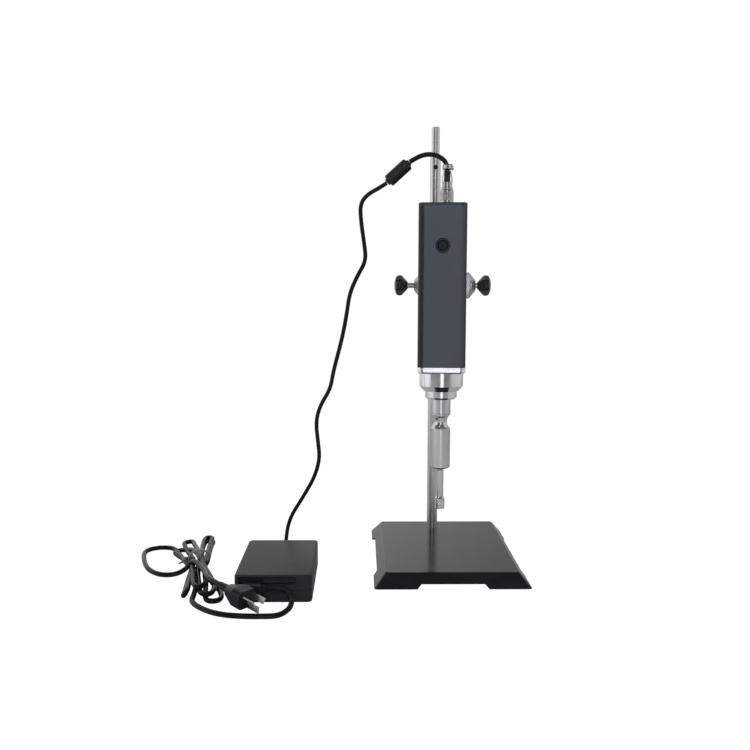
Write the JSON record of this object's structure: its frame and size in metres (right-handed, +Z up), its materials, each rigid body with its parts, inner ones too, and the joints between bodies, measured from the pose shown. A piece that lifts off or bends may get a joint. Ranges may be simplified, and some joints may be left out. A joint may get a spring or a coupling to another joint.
{
  "type": "ultrasonic cell disruptor",
  "caption": "Ultrasonic homogenizer head with a stepped horn, held by a boss-head clamp on a two-part lab stand, with power adapter and mains lead.",
  "frame": {"origin": "centre of the stand base's footprint, on the table", "axes": "+Z up along the column, -Y towards the user, +X to the right as the user sees it"},
  "size_m": [0.4056, 0.2905, 0.4697],
  "materials": {
    "base": "gloss black",
    "foot_rubber": "matt",
    "column": "satin",
    "steel": "bright",
    "black_screw": "black oxide",
    "clamp_casting": "satin cast",
    "knob": "black",
    "housing": "anodised dark grey",
    "satin_plate": "satin",
    "seal": "black",
    "horn_metal": "polished",
    "brass": "plain",
    "ceramic": "matt",
    "button": "dark",
    "dark_plastic": "matt",
    "board": "green board",
    "nickel": "nickel plated",
    "cord_jacket": "black soft plastic",
    "adapter_case": "grey black grain",
    "tie": "coated wire"
  },
  "bodies": {
    "stand": {"base_plate": "base", "base_feet": "foot_rubber", "column_tube": "column", "column_stud": "steel", "column_nut_and_washer": "steel", "adapter_lower_shell": "adapter_case", "adapter_upper_shell": "adapter_case", "adapter_inlet": "dark_plastic", "adapter_relief": "cord_jacket", "adapter_converter": "board", "dc_cord_lower": "cord_jacket", "mains_connector": "cord_jacket", "mains_hank": "cord_jacket", "mains_tie": "tie", "mains_plug": "cord_jacket", "mains_plug_pins": "nickel", "mains_lead_ends": "cord_jacket", "mains_lead_loop": "cord_jacket"},
    "upper_rod": {"column_rod": "column"},
    "rod_screw": {"rod_lock_screw": "black_screw"},
    "clamp": {"clamp_body": "clamp_casting"},
    "left_knob": {"clamp_knob_left": "knob", "clamp_screw_left": "steel"},
    "right_knob": {"clamp_knob_right": "knob", "clamp_screw_right": "steel"},
    "head": {"head_post": "steel", "post_plate": "satin_plate", "post_plate_screws": "black_screw", "housing_sleeve": "housing", "top_cover": "housing", "cover_screws": "black_screw", "bottom_plate": "satin_plate", "nose_collar": "satin_plate", "retaining_nut": "satin_plate", "seal_rings": "seal", "flange_sleeve": "satin_plate", "front_mass": "horn_metal", "electrode_plates": "brass", "piezo_discs": "ceramic", "rear_mass": "steel", "preload_bolt": "steel", "horn": "horn_metal", "horn_stud": "steel", "horn_tip": "horn_metal", "button_bezel": "steel", "panel_nuts": "brass", "button_switch": "dark_plastic", "button_spring": "steel", "driver_board": "board", "driver_components": "dark_plastic", "socket_shell": "nickel", "socket_insert": "dark_plastic", "plug_body": "nickel", "plug_clamp_screws": "nickel", "plug_insert": "dark_plastic", "cord_sleeve": "cord_jacket", "dc_cord_upper": "cord_jacket", "ferrite_bead": "cord_jacket"},
    "button": {"button_cap": "button"},
    "coupling_ring": {"plug_coupling_ring": "nickel"}
  },
  "joints": [
    {"name": "upper_rod_slide", "type": "slide", "parent": "stand", "child": "upper_rod", "axis": [0, 0, 1], "range_m": [-0.028, 0.12]},
    {"name": "rod_screw_turn", "type": "hinge", "parent": "stand", "child": "rod_screw", "pos_m": [-0.007, 0.0625, 0.4253], "axis": [0, -1, 0], "range_deg": [0, 720]},
    {"name": "clamp_slide", "type": "slide", "parent": "stand", "child": "clamp", "axis": [0, 0, 1], "range_m": [-0.046, 0.06], "deforming": ["dc_cord_lower"]},
    {"name": "left_knob_turn", "type": "hinge", "parent": "clamp", "child": "left_knob", "pos_m": [-0.04487, 0.07311, 0.2942], "axis": [-0.9966, 0.0819, 0], "range_deg": [0, 1080]},
    {"name": "right_knob_turn", "type": "hinge", "parent": "clamp", "child": "right_knob", "pos_m": [0.04881, 0.06541, 0.2942], "axis": [0.9966, -0.0819, 0], "range_deg": [0, 1080]},
    {"name": "head_tilt", "type": "hinge", "parent": "clamp", "child": "head", "pos_m": [0.00895, 0.06869, 0.2942], "axis": [0.0819, 0.9966, 0], "range_deg": [-20, 20], "deforming": ["dc_cord_lower"]},
    {"name": "button_press", "type": "slide", "parent": "head", "child": "button", "axis": [0.0819, 0.9966, 0], "range_m": [0, 0.0015], "stiffness_N_per_m": 500, "springref_m": -0.001, "deforming": ["button_spring"]},
    {"name": "coupling_ring_turn", "type": "hinge", "parent": "head", "child": "coupling_ring", "pos_m": [-0.00427, -0.03839, 0.382], "axis": [0, 0, 1], "range_deg": [0, 900]}
  ]
}
